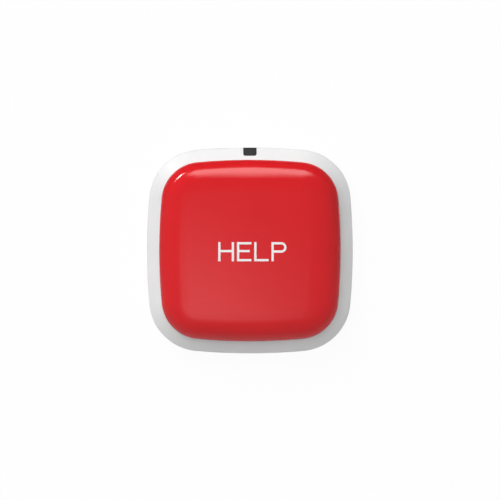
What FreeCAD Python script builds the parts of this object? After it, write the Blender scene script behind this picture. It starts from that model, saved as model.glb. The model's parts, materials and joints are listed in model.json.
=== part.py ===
import FreeCAD
import Part
import math
import os

import Sketcher
from FreeCAD import Placement, Rotation, Vector

# Wireless panic button: a square pendant that lies on its back, millimetres.
# The origin is the middle of the back face, +Z points out of the button and +Y to the indicator.
# Every outline in plan is one shape, eight tangent arcs, drawn further in by some inset.

DRIVING_DIMENSIONS = [
    # Outline, and the stack of thicknesses from the back face up to the button's top
    ("body_width", 40.0),
    ("side_bulge_radius", 114.0),
    ("corner_radius", 10.0),
    ("door_face", 0.1),
    ("flange_thickness", 0.85),
    ("ledge_gap", 0.05),
    ("ledge_thickness", 0.7),
    ("cover_rise", 1.3),
    ("plate_thickness", 1.5),
    ("cell_height", 3.2),
    ("contact_space", 0.6),
    ("board_thickness", 0.8),
    ("trough_thickness", 1.0),
    ("rim_rise", 1.5),
    ("cap_rise", 5.8),
    # Front case: sloping rim, trough for the cap's skirt, raised island inside it
    ("rim_width", 2.45),
    ("rim_slope_width", 2.35),
    ("rim_slope_height", 2.17),
    ("rim_edge_radius", 0.7),
    ("crest_edge_radius", 0.05),
    ("seam_edge_radius", 0.12),
    ("case_wall", 1.8),
    ("island_gap", 0.95),
    ("island_wall", 1.0),
    ("island_edge_radius", 0.6),
    ("boss_inset", 6.42),
    ("boss_wall", 1.02),
    ("pilot_gap", 0.03),
    ("pilot_cover", 0.6),
    ("relief_gap", 0.15),
    ("relief_headroom", 0.05),
    # Button cap: shallow dome, big soft edge, brim over the rim's crest, four snap hooks
    ("cap_gap", 0.1),
    ("brim_lap", 0.05),
    ("brim_gap", 0.1),
    ("press_travel", 0.5),
    ("press_gap", 0.2),
    ("dome_radius", 180.0),
    ("cap_edge_radius", 4.4),
    ("cap_wall", 1.3),
    ("crown_thickness", 1.7),
    ("shoulder_drop", 0.7),
    ("cap_hollow_radius", 3.0),
    ("plunger_radius", 2.0),
    ("hook_spread", 8.0),
    ("hook_width", 3.0),
    ("hook_inset", 0.6),
    ("hook_thickness", 1.0),
    ("hook_gap", 0.2),
    ("barb_gap", 0.05),
    ("barb_height", 1.15),
    ("barb_width", 0.65),
    # Indicator window and the light pipe behind it
    ("window_width", 2.58),
    ("window_inset", 1.58),
    ("window_gap", 0.015),
    ("window_corner_radius", 0.4),
    ("pipe_margin", 0.2),
    ("pipe_length", 3.07),
    # Silicone seal under the cap
    ("opening_space", 1.6),
    ("seal_space", 0.5),
    ("seal_thickness", 0.55),
    ("bead_place", 1.4),
    ("bead_width", 0.8),
    ("bead_depth", 0.5),
    ("bead_gap", 0.03),
    ("seal_margin", 0.7),
    ("web_thickness", 0.3),
    ("nub_radius", 2.2),
    ("nub_height", 1.0),
    # Rear cover
    ("back_edge_radius", 2.0),
    ("lip_gap", 0.1),
    ("lip_width", 0.8),
    ("lip_length", 16.0),
    ("lip_rise", 0.9),
    ("gasket_inset", 0.6),
    ("gasket_width", 0.8),
    ("gasket_depth", 0.8),
    ("gasket_gap", 0.05),
    ("pillar_wall", 0.55),
    ("well_space", 2.0),
    ("well_wall", 1.0),
    ("cell_gap", 0.15),
    ("rib_width", 1.0),
    ("rib_lift", 0.5),
    ("rib_drop", 0.2),
    ("rib_count", 6),
    # Battery door: bayonet disc with a coin slot
    ("door_gap", 0.2),
    ("door_rim", 0.3),
    ("neck_inset", 0.85),
    ("neck_wall", 0.95),
    ("neck_gap", 0.15),
    ("lug_length", 0.7),
    ("lug_height", 0.75),
    ("lug_gap", 0.05),
    ("lug_angle", 22.0),
    ("lug_count", 3),
    ("notch_gap", 0.1),
    ("notch_angle", 26.0),
    ("twist_angle", 30.0),
    ("coin_slot_width", 1.6),
    ("coin_slot_length", 14.0),
    ("coin_slot_depth", 0.9),
    ("ring_place", 0.35),
    ("ring_width", 0.6),
    ("ring_height", 0.5),
    ("ring_edge_radius", 0.15),
    # Screws
    ("screw_sink", 0.35),
    ("screw_head_height", 0.95),
    ("screw_head_radius", 1.5),
    ("screw_head_gap", 0.15),
    ("screw_radius", 0.85),
    ("screw_gap", 0.1),
    ("screw_tip_gap", 0.3),
    ("screw_point", 0.6),
    ("screw_edge", 0.15),
    ("recess_width", 0.4),
    ("recess_length", 1.7),
    ("recess_depth", 0.5),
    # Coin cell and its contacts
    ("cell_radius", 10.0),
    ("cell_step", 0.25),
    ("cell_cap_inset", 1.3),
    ("crimp_width", 0.8),
    ("cell_edge_radius", 0.4),
    ("leaf_thickness", 0.2),
    ("negative_width", 3.0),
    ("negative_base", 2.0),
    ("negative_bend", 4.6),
    ("negative_reach", 6.5),
    ("positive_width", 4.0),
    ("touch_gap", 0.02),
    ("touch_drop", 0.9),
    ("tail_lead", 0.68),
    ("tail_drop", 1.0),
    ("contact_offset", 1.5),
    ("knee_drop", 0.45),
    # Circuit board and what it carries
    ("board_inset", 4.6),
    ("notch_space", 0.2),
    ("switch_width", 6.0),
    ("switch_height", 3.2),
    ("switch_bore_depth", 1.5),
    ("bore_gap", 0.1),
    ("post_inset", 0.55),
    ("switch_post_radius", 0.3),
    ("post_height", 0.4),
    ("switch_cover_thickness", 0.3),
    ("switch_edge_radius", 0.3),
    ("stem_radius", 1.75),
    ("stem_gap", 0.25),
    ("stem_rise", 0.8),
    ("flange_lap", 0.1),
    ("flange_gap", 0.05),
    ("flange_height", 0.45),
    ("stem_pip_radius", 0.6),
    ("stem_edge_radius", 0.2),
    ("dome_inset", 0.3),
    ("dome_rise", 0.6),
    ("dome_sheet", 0.15),
    ("terminal_width", 0.7),
    ("terminal_sheet", 0.2),
    ("terminal_lift", 0.8),
    ("terminal_lead", 0.35),
    ("terminal_foot", 0.85),
    ("terminal_inset", 0.75),
    ("led_length", 1.6),
    ("led_depth", 1.1),
    ("led_height", 0.5),
    ("led_gap", 0.05),
    ("relief_room", 0.1),
    ("shield_inset", 7.4),
    ("shield_space", 2.0),
    ("shield_half_length", 5.5),
    ("shield_height", 2.0),
    ("shield_sheet", 0.2),
    ("shield_edge_radius", 0.5),
    ("chip_width", 5.0),
    ("chip_height", 0.9),
    ("chip_rise", 1.8),
    ("crystal_width", 3.2),
    ("crystal_length", 2.5),
    ("crystal_height", 0.7),
    ("crystal_drop", 3.6),
    ("antenna_end_inset", 11.0),
    ("antenna_inset", 8.8),
    ("antenna_height", 2.0),
    ("antenna_radius", 0.35),
    ("antenna_bend", 1.0),
    ("row_inset", 13.8),
    ("capacitor_length", 1.6),
    ("capacitor_width", 0.8),
    ("capacitor_height", 0.8),
    ("capacitor_pitch", 2.2),
    ("capacitor_count", 3),
    ("capacitor_row", 3.4),
    ("resistor_length", 1.0),
    ("resistor_width", 0.5),
    ("resistor_height", 0.35),
    ("resistor_pitch", 1.7),
    ("resistor_count", 4),
    ("resistor_row", 5.6),
]

doc = FreeCAD.newDocument("panic_button")
sheet = doc.addObject("Spreadsheet::Sheet", "dims")
for row, (alias, size) in enumerate(DRIVING_DIMENSIONS, start=1):
    sheet.set(f"A{row}", alias)
    sheet.set(f"B{row}", str(size))
    sheet.setAlias(f"B{row}", alias)
doc.recompute()

TINY = 1e-6
NOWHERE = "0"

# Levels above the back face: each one stands on the level or the thickness below it
FLANGE_TOP = "(dims.door_face + dims.flange_thickness)"
DOOR_RECESS = f"({FLANGE_TOP} + dims.ledge_gap)"
RING_FOOT = f"({DOOR_RECESS} - dims.ring_height)"
COVER_FLOOR = f"({DOOR_RECESS} + dims.ledge_thickness)"
SPLIT = f"({COVER_FLOOR} + dims.cover_rise)"
LIP_TOP = f"({SPLIT} + dims.lip_rise)"
LUG_FOOT = f"({COVER_FLOOR} + dims.lug_gap)"
NECK_TOP = f"({LUG_FOOT} + dims.lug_height)"
PLATE_TOP = "(dims.door_face + dims.plate_thickness)"
CELL_TOP = f"({PLATE_TOP} + dims.cell_height)"
CAN_TOP = f"({CELL_TOP} - dims.cell_step)"
BOARD_UNDERSIDE = f"({CELL_TOP} + dims.contact_space)"
RIB_FOOT = f"({NECK_TOP} + dims.rib_lift)"
RIB_TOP = f"({BOARD_UNDERSIDE} - dims.rib_drop)"
KNEE = f"({BOARD_UNDERSIDE} - dims.knee_drop)"
TOUCH_HEIGHT = f"({CELL_TOP} - dims.touch_drop)"
TAIL_FOOT = f"({TOUCH_HEIGHT} - dims.tail_drop)"
BOARD_TOP = f"({BOARD_UNDERSIDE} + dims.board_thickness)"
TROUGH_FLOOR = f"({BOARD_TOP} + dims.trough_thickness)"
RIM_TOP = f"({TROUGH_FLOOR} + dims.rim_rise)"
CAP_FOOT = f"({TROUGH_FLOOR} + dims.press_travel + dims.press_gap)"
BRIM_FOOT = f"({RIM_TOP} + dims.press_travel + dims.brim_gap)"
CAP_TOP = f"({RIM_TOP} + dims.cap_rise)"
CAP_CEILING = f"({CAP_TOP} - dims.crown_thickness)"
CAP_SHOULDER = f"({CAP_CEILING} - dims.shoulder_drop)"
BARB_TOP = f"({BOARD_TOP} - dims.barb_gap)"
HOOK_FOOT = f"({BARB_TOP} - dims.barb_height)"
SWITCH_TOP = f"({BOARD_TOP} + dims.switch_height)"
SWITCH_FLOOR = f"({SWITCH_TOP} - dims.switch_bore_depth)"
STEM_FLANGE_TOP = f"({SWITCH_TOP} - dims.flange_gap)"
STEM_FLANGE_FOOT = f"({STEM_FLANGE_TOP} - dims.flange_height)"
STEM_TOP = f"({SWITCH_TOP} + dims.switch_cover_thickness + dims.stem_rise)"
NUB_TOP = f"({STEM_TOP} + dims.nub_height)"
ISLAND_TOP = f"({SWITCH_TOP} + dims.switch_cover_thickness + dims.seal_space)"
TERMINAL_EXIT = f"({BOARD_TOP} + dims.terminal_lift)"
RELIEF_HEIGHT = "(dims.led_height + dims.relief_headroom)"
SCREW_SEAT = "(dims.screw_sink + dims.screw_head_height)"
PILOT_TOP = f"({TROUGH_FLOOR} - dims.pilot_cover)"
SCREW_TIP = f"({PILOT_TOP} - dims.screw_tip_gap)"

# Insets from the body's outline
BRIM_INSET = "(dims.rim_width - dims.brim_lap)"
SKIRT_INSET = "(dims.rim_width + dims.cap_gap)"
ISLAND_INSET = f"({SKIRT_INSET} + dims.cap_wall + dims.island_gap)"
COVER_WALL = "(dims.case_wall + dims.lip_gap)"

# Places measured from the body's middle
BOSS_PLACE = "(dims.body_width / 2 - dims.boss_inset)"
HOOK_INNER = f"(dims.body_width / 2 - {SKIRT_INSET} - dims.hook_inset - dims.hook_thickness)"
WINDOW_INNER = "(dims.body_width / 2 - dims.window_inset)"
PIPE_START = f"({WINDOW_INNER} - dims.pipe_length)"
LED_BACK = f"({PIPE_START} - dims.led_gap - dims.led_depth)"
RELIEF_START = f"({LED_BACK} - dims.relief_room)"
PIPE_HALF = "(dims.led_length / 2 + dims.pipe_margin)"
RELIEF_HALF = f"({PIPE_HALF} + dims.relief_gap)"
POST_PLACE = "(dims.switch_width / 2 - dims.post_inset)"
TERMINAL_KNEE = "(dims.switch_width / 2 + dims.terminal_lead)"
TERMINAL_OUTER = f"({TERMINAL_KNEE} + dims.terminal_foot)"
TERMINAL_SPREAD = "(dims.switch_width / 2 - dims.terminal_inset)"
SHIELD_LEFT = "(dims.body_width / 2 - dims.shield_inset)"
SHIELD_RIGHT = "(dims.switch_width / 2 + dims.shield_space)"
CHIP_CENTRE = f"(({SHIELD_LEFT} + {SHIELD_RIGHT}) / 2)"
ANTENNA_REACH = "(dims.body_width / 2 - dims.antenna_end_inset)"
ANTENNA_PLACE = "(dims.body_width / 2 - dims.antenna_inset)"

# Radii round the cell, the screws and the switch's stem
WELL_RADIUS = "(dims.cell_radius + dims.well_space)"
RIB_INNER = "(dims.cell_radius + dims.cell_gap)"
CELL_CAP_RADIUS = "(dims.cell_radius - dims.cell_cap_inset)"
CRIMP_RADIUS = "(dims.cell_radius - dims.crimp_width)"
TOUCH = "(dims.cell_radius + dims.touch_gap)"
TAIL = f"({TOUCH} + dims.tail_lead)"
FOOT_OUTER = "(dims.cell_radius + dims.contact_offset)"
NECK_RADIUS = f"({WELL_RADIUS} - dims.neck_inset)"
LUG_OUTER = f"({NECK_RADIUS} + dims.lug_length)"
NOTCH_OUTER = f"({LUG_OUTER} + dims.notch_gap)"
RING_INNER = f"({LUG_OUTER} + dims.ring_place)"
RING_OUTER = f"({RING_INNER} + dims.ring_width)"
DOOR_RADIUS = f"({RING_OUTER} + dims.door_rim)"
PILOT_RADIUS = "(dims.screw_radius + dims.pilot_gap)"
BOSS_RADIUS = f"({PILOT_RADIUS} + dims.boss_wall)"
NOTCH_RADIUS = f"({BOSS_RADIUS} + dims.notch_space)"
SCREW_HOLE_RADIUS = "(dims.screw_radius + dims.screw_gap)"
COUNTERBORE_RADIUS = "(dims.screw_head_radius + dims.screw_head_gap)"
PILLAR_RADIUS = f"({COUNTERBORE_RADIUS} + dims.pillar_wall)"
STEM_HOLE = "(dims.stem_radius + dims.stem_gap)"
FLANGE_RADIUS = f"({STEM_HOLE} + dims.flange_lap)"
SWITCH_BORE = f"({FLANGE_RADIUS} + dims.bore_gap)"
DOME_FOOT_RADIUS = f"({SWITCH_BORE} - dims.dome_inset)"
SEAL_OPENING = "(dims.switch_width / 2 + dims.opening_space)"
BEAD_START = f"({SEAL_OPENING} + dims.bead_place)"
SEAL_RADIUS = f"({BEAD_START} + dims.bead_width + dims.seal_margin)"


def value(expression):
    """The number that an expression of the sheet gives now."""
    result = sheet.evalExpression(expression)
    return float(getattr(result, "Value", result))


# Sketch helpers

def new_body(name):
    body = doc.addObject("PartDesign::Body", name)
    body.Label = name
    return body


def origin_feature(body, role):
    return next(item for item in body.Origin.OriginFeatures if item.Role == role)


def new_sketch(body, name, role="XY_Plane", offset=None):
    """A sketch on one of the body's own planes, moved along that plane's normal."""
    sketch = body.newObject("Sketcher::SketchObject", name)
    sketch.AttachmentSupport = [(origin_feature(body, role), "")]
    sketch.MapMode = "FlatFace"
    if offset:
        sketch.setExpression("AttachmentOffset.Base.z", offset)
    return sketch


def bind(sketch, constraint, name, expression):
    index = sketch.addConstraint(constraint)
    sketch.renameConstraint(index, name)
    sketch.setExpression(f"Constraints.{name}", expression)


def place_point(sketch, geometry, position, name, x, y):
    """Fix one point of the sketch by its two distances from the sketch's origin."""
    for kind, axis, expression in (("DistanceX", -2, x), ("DistanceY", -1, y)):
        distance = value(expression)
        if abs(distance) < TINY:
            sketch.addConstraint(Sketcher.Constraint("PointOnObject", geometry, position, axis))
        elif distance > 0:
            constraint = Sketcher.Constraint(kind, -1, 1, geometry, position, distance)
            bind(sketch, constraint, f"{name}_{kind}", expression)
        else:
            constraint = Sketcher.Constraint(kind, geometry, position, -1, 1, -distance)
            bind(sketch, constraint, f"{name}_{kind}", f"-({expression})")


def polygon(sketch, name, points):
    """A closed outline of straight lines through points given as expressions."""
    corners = [Vector(value(x), value(y), 0) for x, y in points]
    lines = []
    for start, end in zip(corners, corners[1:] + corners[:1]):
        lines.append(sketch.addGeometry(Part.LineSegment(start, end)))
    for index, line in enumerate(lines):
        sketch.addConstraint(Sketcher.Constraint("Coincident", lines[index - 1], 2, line, 1))
        place_point(sketch, line, 1, f"{name}_{index}", *points[index])
    return lines


def rectangle(sketch, name, x, y):
    """A rectangle between two expressions in x and two in y."""
    return polygon(sketch, name, [(x[0], y[0]), (x[1], y[0]), (x[1], y[1]), (x[0], y[1])])


def circle(sketch, name, radius, x=NOWHERE, y=NOWHERE):
    centre = Vector(value(x), value(y), 0)
    ring = sketch.addGeometry(Part.Circle(centre, Vector(0, 0, 1), value(radius)))
    bind(sketch, Sketcher.Constraint("Radius", ring, value(radius)), f"{name}_radius", radius)
    place_point(sketch, ring, 3, name, x, y)
    return ring


def rounded_square(sketch, name, inset=NOWHERE):
    """The body's outline drawn inset by some distance: four bulging sides, four corners."""
    half = value(f"dims.body_width / 2 - ({inset})")
    side_radius = value(f"dims.side_bulge_radius - ({inset})")
    corner_radius = value(f"dims.corner_radius - ({inset})")
    shift = side_radius - half
    corner_place = (math.sqrt(2 * (side_radius - corner_radius) ** 2 - shift ** 2) - shift) / 2
    turn = math.atan2(corner_place, corner_place + shift)
    up = Vector(0, 0, 1)
    sides = []
    corners = []
    for quarter in range(4):
        facing = quarter * math.pi / 2
        spin = Rotation(up, math.degrees(facing))
        side = Part.Circle(spin.multVec(Vector(-shift, 0, 0)), up, side_radius)
        corner = Part.Circle(spin.multVec(Vector(corner_place, corner_place, 0)), up, corner_radius)
        sides.append(sketch.addGeometry(Part.ArcOfCircle(side, facing - turn, facing + turn)))
        next_side = facing + math.pi / 2 - turn
        corners.append(sketch.addGeometry(Part.ArcOfCircle(corner, facing + turn, next_side)))
    for quarter in range(4):
        side = sides[quarter]
        corner = corners[quarter]
        sketch.addConstraint(Sketcher.Constraint("Tangent", side, 2, corner, 1))
        sketch.addConstraint(Sketcher.Constraint("Tangent", corner, 2, sides[(quarter + 1) % 4], 1))
        if quarter:
            sketch.addConstraint(Sketcher.Constraint("Equal", sides[0], side))
            sketch.addConstraint(Sketcher.Constraint("Equal", corners[0], corner))
        towards_minus = "dims.body_width / 2 - dims.side_bulge_radius"
        away = f"-({towards_minus})"
        centre = [(towards_minus, NOWHERE), (NOWHERE, towards_minus), (away, NOWHERE), (NOWHERE, away)]
        place_point(sketch, side, 3, f"{name}_side_{quarter}", *centre[quarter])
    radii = ((sides[0], "side_bulge_radius", "bulge"), (corners[0], "corner_radius", "corner"))
    for arc, radius, word in radii:
        expression = f"dims.{radius} - ({inset})"
        constraint = Sketcher.Constraint("Radius", arc, value(expression))
        bind(sketch, constraint, f"{name}_{word}", expression)


def side_strip(sketch, outer_inset, inner_inset, half_length):
    """The strip between two insets of the outline's bulging +X side, cut off straight."""
    centre = "dims.body_width / 2 - dims.side_bulge_radius"
    middle = Vector(value(centre), 0, 0)
    up = Vector(0, 0, 1)
    end = value(half_length)
    arcs = []
    corners = []
    for inset, word in ((outer_inset, "outer"), (inner_inset, "inner")):
        radius = value(f"dims.side_bulge_radius - ({inset})")
        lean = math.asin(end / radius)
        arc = sketch.addGeometry(Part.ArcOfCircle(Part.Circle(middle, up, radius), -lean, lean))
        constraint = Sketcher.Constraint("Radius", arc, radius)
        bind(sketch, constraint, f"{word}_radius", f"dims.side_bulge_radius - ({inset})")
        arcs.append(arc)
        corners.append(middle.x + math.sqrt(radius ** 2 - end ** 2))
    place_point(sketch, arcs[0], 3, "strip_centre", centre, NOWHERE)
    sketch.addConstraint(Sketcher.Constraint("Coincident", arcs[0], 3, arcs[1], 3))
    for position, level, word in ((1, -end, "low"), (2, end, "high")):
        start = Vector(corners[0], level, 0)
        finish = Vector(corners[1], level, 0)
        line = sketch.addGeometry(Part.LineSegment(start, finish))
        sketch.addConstraint(Sketcher.Constraint("Coincident", line, 1, arcs[0], position))
        sketch.addConstraint(Sketcher.Constraint("Coincident", line, 2, arcs[1], position))
        sketch.addConstraint(Sketcher.Constraint("Horizontal", line))
        ends = (-1, 1, line, 1) if level > 0 else (line, 1, -1, 1)
        bind(sketch, Sketcher.Constraint("DistanceY", *ends, end), f"strip_{word}", half_length)


# Feature helpers

def bind_sizes(feature, sizes):
    for size, expression in sizes.items():
        feature.setExpression(size, expression)


def pad(body, sketch, name, length, both_ways=False, reverse=False):
    feature = body.newObject("PartDesign::Pad", name)
    feature.Profile = sketch
    feature.Midplane = both_ways
    feature.Reversed = reverse
    bind_sizes(feature, {"Length": length})
    sketch.Visibility = False
    doc.recompute()
    return feature


def check_cut(body, before, name):
    """A cut that points away from the solid shows no error, so the volumes are compared."""
    if body.Shape.Volume > before - TINY:
        raise RuntimeError(f"{name} removes nothing")


def pocket(body, sketch, name, depth, upward=False):
    doc.recompute()
    before = body.Shape.Volume
    feature = body.newObject("PartDesign::Pocket", name)
    feature.Profile = sketch
    feature.Reversed = upward
    bind_sizes(feature, {"Length": depth})
    sketch.Visibility = False
    doc.recompute()
    check_cut(body, before, name)
    return feature


def turned(body, sketch, name, angle=None, cut=False, axis="V_Axis"):
    """A profile turned about an axis of its sketch, all round or by a middle angle."""
    doc.recompute()
    before = body.Shape.Volume if cut else 0
    kind = "PartDesign::Groove" if cut else "PartDesign::Revolution"
    feature = body.newObject(kind, name)
    feature.Profile = sketch
    feature.ReferenceAxis = (sketch, [axis])
    feature.Angle = 360
    if angle:
        feature.Midplane = True
        bind_sizes(feature, {"Angle": angle})
    sketch.Visibility = False
    doc.recompute()
    if cut:
        check_cut(body, before, name)
    return feature


def edges_where(feature, test):
    """Names of the feature's edges whose every vertex and middle pass the test."""
    names = []
    for index, edge in enumerate(feature.Shape.Edges, start=1):
        middle = edge.valueAt((edge.FirstParameter + edge.LastParameter) / 2)
        points = [vertex.Point for vertex in edge.Vertexes] + [middle]
        if all(test(point) for point in points):
            names.append(f"Edge{index}")
    if not names:
        raise RuntimeError(f"no edge of {feature.Name} passes the test")
    return names


def at_height(height):
    level = value(height)
    return lambda point: abs(point.z - level) < TINY


def fillet(body, base, name, edges, radius):
    feature = body.newObject("PartDesign::Fillet", name)
    feature.Base = (base, edges)
    bind_sizes(feature, {"Radius": radius})
    doc.recompute()
    return feature


def around(body, originals, name, count):
    """Repeat features evenly round the Z axis."""
    feature = body.newObject("PartDesign::PolarPattern", name)
    feature.Originals = originals
    feature.Axis = (origin_feature(body, "Z_Axis"), [""])
    feature.Angle = 360
    bind_sizes(feature, {"Occurrences": count})
    body.Tip = feature
    doc.recompute()
    return feature


def along(body, originals, name, role, pitch, count):
    """Repeat features in a straight row along one of the body's axes."""
    feature = body.newObject("PartDesign::LinearPattern", name)
    feature.Originals = originals
    feature.Direction = (origin_feature(body, role), [""])
    feature.Mode = "Spacing"
    bind_sizes(feature, {"Offset": pitch, "Occurrences": count})
    body.Tip = feature
    doc.recompute()
    return feature


# Front case, and the outer form that the indicator window shares with it

def outer_form(body):
    """The case's outside above the split: upright wall, then the rim's slope up to its crest."""
    outline = new_sketch(body, "outline", offset=SPLIT)
    rounded_square(outline, "outline")
    block = pad(body, outline, "block", f"{RIM_TOP} - {SPLIT}")
    slope = body.newObject("PartDesign::Chamfer", "rim_slope")
    slope.Base = (block, edges_where(block, at_height(RIM_TOP)))
    slope.ChamferType = "Two distances"
    bind_sizes(slope, {"Size": "dims.rim_slope_height", "Size2": "dims.rim_slope_width"})
    doc.recompute()
    shoulder = edges_where(slope, at_height(f"{RIM_TOP} - dims.rim_slope_height"))
    return fillet(body, slope, "rim_shoulder", shoulder, "dims.rim_edge_radius")


def window_outline(sketch, gap):
    """Plan of the window: straight sides, two rounded corners towards the button."""
    side = f"(dims.window_width / 2 + {gap})"
    inner = f"({WINDOW_INNER} - {gap})"
    beyond = "dims.body_width * 0.55"
    corner = "dims.window_corner_radius"
    across = value(side)
    low = value(inner)
    high = value(beyond)
    bend = value(corner)
    left_centre = Vector(bend - across, low + bend, 0)
    right_centre = Vector(across - bend, low + bend, 0)
    up = Vector(0, 0, 1)
    left_corner = Part.Circle(left_centre, up, bend)
    right_corner = Part.Circle(right_centre, up, bend)
    pieces = [
        Part.LineSegment(Vector(-across, high, 0), Vector(-across, low + bend, 0)),
        Part.ArcOfCircle(left_corner, math.pi, 1.5 * math.pi),
        Part.LineSegment(Vector(bend - across, low, 0), Vector(across - bend, low, 0)),
        Part.ArcOfCircle(right_corner, 1.5 * math.pi, 2 * math.pi),
        Part.LineSegment(Vector(across, low + bend, 0), Vector(across, high, 0)),
        Part.LineSegment(Vector(across, high, 0), Vector(-across, high, 0)),
    ]
    left, left_arc, bottom, right_arc, right, top = [sketch.addGeometry(piece) for piece in pieces]
    joints = [
        ("Tangent", left, 2, left_arc, 1),
        ("Tangent", left_arc, 2, bottom, 1),
        ("Tangent", bottom, 2, right_arc, 1),
        ("Tangent", right_arc, 2, right, 1),
        ("Coincident", right, 2, top, 1),
        ("Coincident", top, 2, left, 1),
        ("Horizontal", bottom),
        ("Equal", left_arc, right_arc),
    ]
    for joint in joints:
        sketch.addConstraint(Sketcher.Constraint(*joint))
    bind(sketch, Sketcher.Constraint("Radius", left_arc, bend), "window_bend", corner)
    place_point(sketch, left, 1, "window_left", f"-{side}", beyond)
    place_point(sketch, right, 2, "window_right", side, beyond)
    bind(sketch, Sketcher.Constraint("DistanceY", -1, 1, bottom, 1, low), "window_low", inner)


def front_case():
    """Shell with the sloping rim, the trough for the cap and the island over the board."""
    body = new_body("front_case")
    form = outer_form(body)
    fillet(body, form, "seam_edge", edges_where(form, at_height(SPLIT)), "dims.seam_edge_radius")

    well = new_sketch(body, "well", offset=RIM_TOP)
    rounded_square(well, "well", "dims.rim_width")
    pocket(body, well, "well_cut", f"{RIM_TOP} - {TROUGH_FLOOR}")

    island = new_sketch(body, "island", offset=TROUGH_FLOOR)
    rounded_square(island, "island", ISLAND_INSET)
    island_pad = pad(body, island, "island_pad", f"{ISLAND_TOP} - {TROUGH_FLOOR}")
    rim_crest = at_height(RIM_TOP)
    island_top = edges_where(island_pad, at_height(ISLAND_TOP))
    island_edge = fillet(body, island_pad, "island_edge", island_top, "dims.island_edge_radius")
    reach = value("dims.body_width / 2 - dims.rim_width") + TINY
    crest = edges_where(island_edge, lambda point: rim_crest(point) and well_edge(point, reach))
    fillet(body, island_edge, "crest_edge", crest, "dims.crest_edge_radius")

    cavity = new_sketch(body, "cavity", offset=SPLIT)
    rounded_square(cavity, "cavity", "dims.case_wall")
    pocket(body, cavity, "cavity_cut", f"{BOARD_TOP} - {SPLIT}", upward=True)

    hollow = new_sketch(body, "island_hollow", offset=BOARD_TOP)
    rounded_square(hollow, "hollow", f"{ISLAND_INSET} + dims.island_wall")
    hollow_depth = f"{ISLAND_TOP} - dims.island_wall - {BOARD_TOP}"
    pocket(body, hollow, "island_hollow_cut", hollow_depth, upward=True)

    boss = new_sketch(body, "boss", offset=SPLIT)
    circle(boss, "boss", BOSS_RADIUS, BOSS_PLACE, BOSS_PLACE)
    boss_pad = pad(body, boss, "boss_pad", f"{PILOT_TOP} - {SPLIT}")
    around(body, [boss_pad], "bosses", "4")
    pilot = new_sketch(body, "pilot", offset=SPLIT)
    circle(pilot, "pilot", PILOT_RADIUS, BOSS_PLACE, BOSS_PLACE)
    pilot_cut = pocket(body, pilot, "pilot_cut", f"{PILOT_TOP} - {SPLIT}", upward=True)
    around(body, [pilot_cut], "pilots", "4")

    opening = new_sketch(body, "opening", offset=ISLAND_TOP)
    circle(opening, "opening", SEAL_OPENING)
    pocket(body, opening, "opening_cut", "dims.island_wall")
    bead = new_sketch(body, "bead_groove", offset=ISLAND_TOP)
    circle(bead, "bead_inner", BEAD_START)
    circle(bead, "bead_outer", f"{BEAD_START} + dims.bead_width")
    pocket(body, bead, "bead_groove_cut", "dims.bead_depth")

    slots = new_sketch(body, "hook_slots", offset=TROUGH_FLOOR)
    near = f"({HOOK_INNER} - dims.hook_gap)"
    far = f"({HOOK_INNER} + dims.hook_thickness + dims.hook_gap)"
    low = "(dims.hook_spread - dims.hook_width / 2 - dims.hook_gap)"
    high = "(dims.hook_spread + dims.hook_width / 2 + dims.hook_gap)"
    rectangle(slots, "upper_right", (near, far), (low, high))
    rectangle(slots, "upper_left", (f"-{far}", f"-{near}"), (low, high))
    rectangle(slots, "lower_right", (near, far), (f"-{high}", f"-{low}"))
    rectangle(slots, "lower_left", (f"-{far}", f"-{near}"), (f"-{high}", f"-{low}"))
    pocket(body, slots, "hook_slots_cut", f"{TROUGH_FLOOR} - {BOARD_TOP}")

    window = new_sketch(body, "window_slot", offset=RIM_TOP)
    window_outline(window, "dims.window_gap")
    pocket(body, window, "window_slot_cut", f"{RIM_TOP} - {BOARD_TOP}")
    relief = new_sketch(body, "light_relief", offset=BOARD_TOP)
    half = RELIEF_HALF
    relief_end = f"{WINDOW_INNER} + dims.window_corner_radius"
    rectangle(relief, "relief", (f"-{half}", half), (RELIEF_START, relief_end))
    pocket(body, relief, "light_relief_cut", RELIEF_HEIGHT, upward=True)
    return body


def well_edge(point, reach):
    """Whether a point of the rim's crest lies on the edge of the well."""
    side_centre = value("dims.body_width / 2 - dims.side_bulge_radius")
    side = value("dims.side_bulge_radius - dims.rim_width")
    across = max(abs(point.x), abs(point.y))
    beside = min(abs(point.x), abs(point.y))
    return across <= reach and math.hypot(across - side_centre, beside) <= side + TINY


# Button cap

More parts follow.
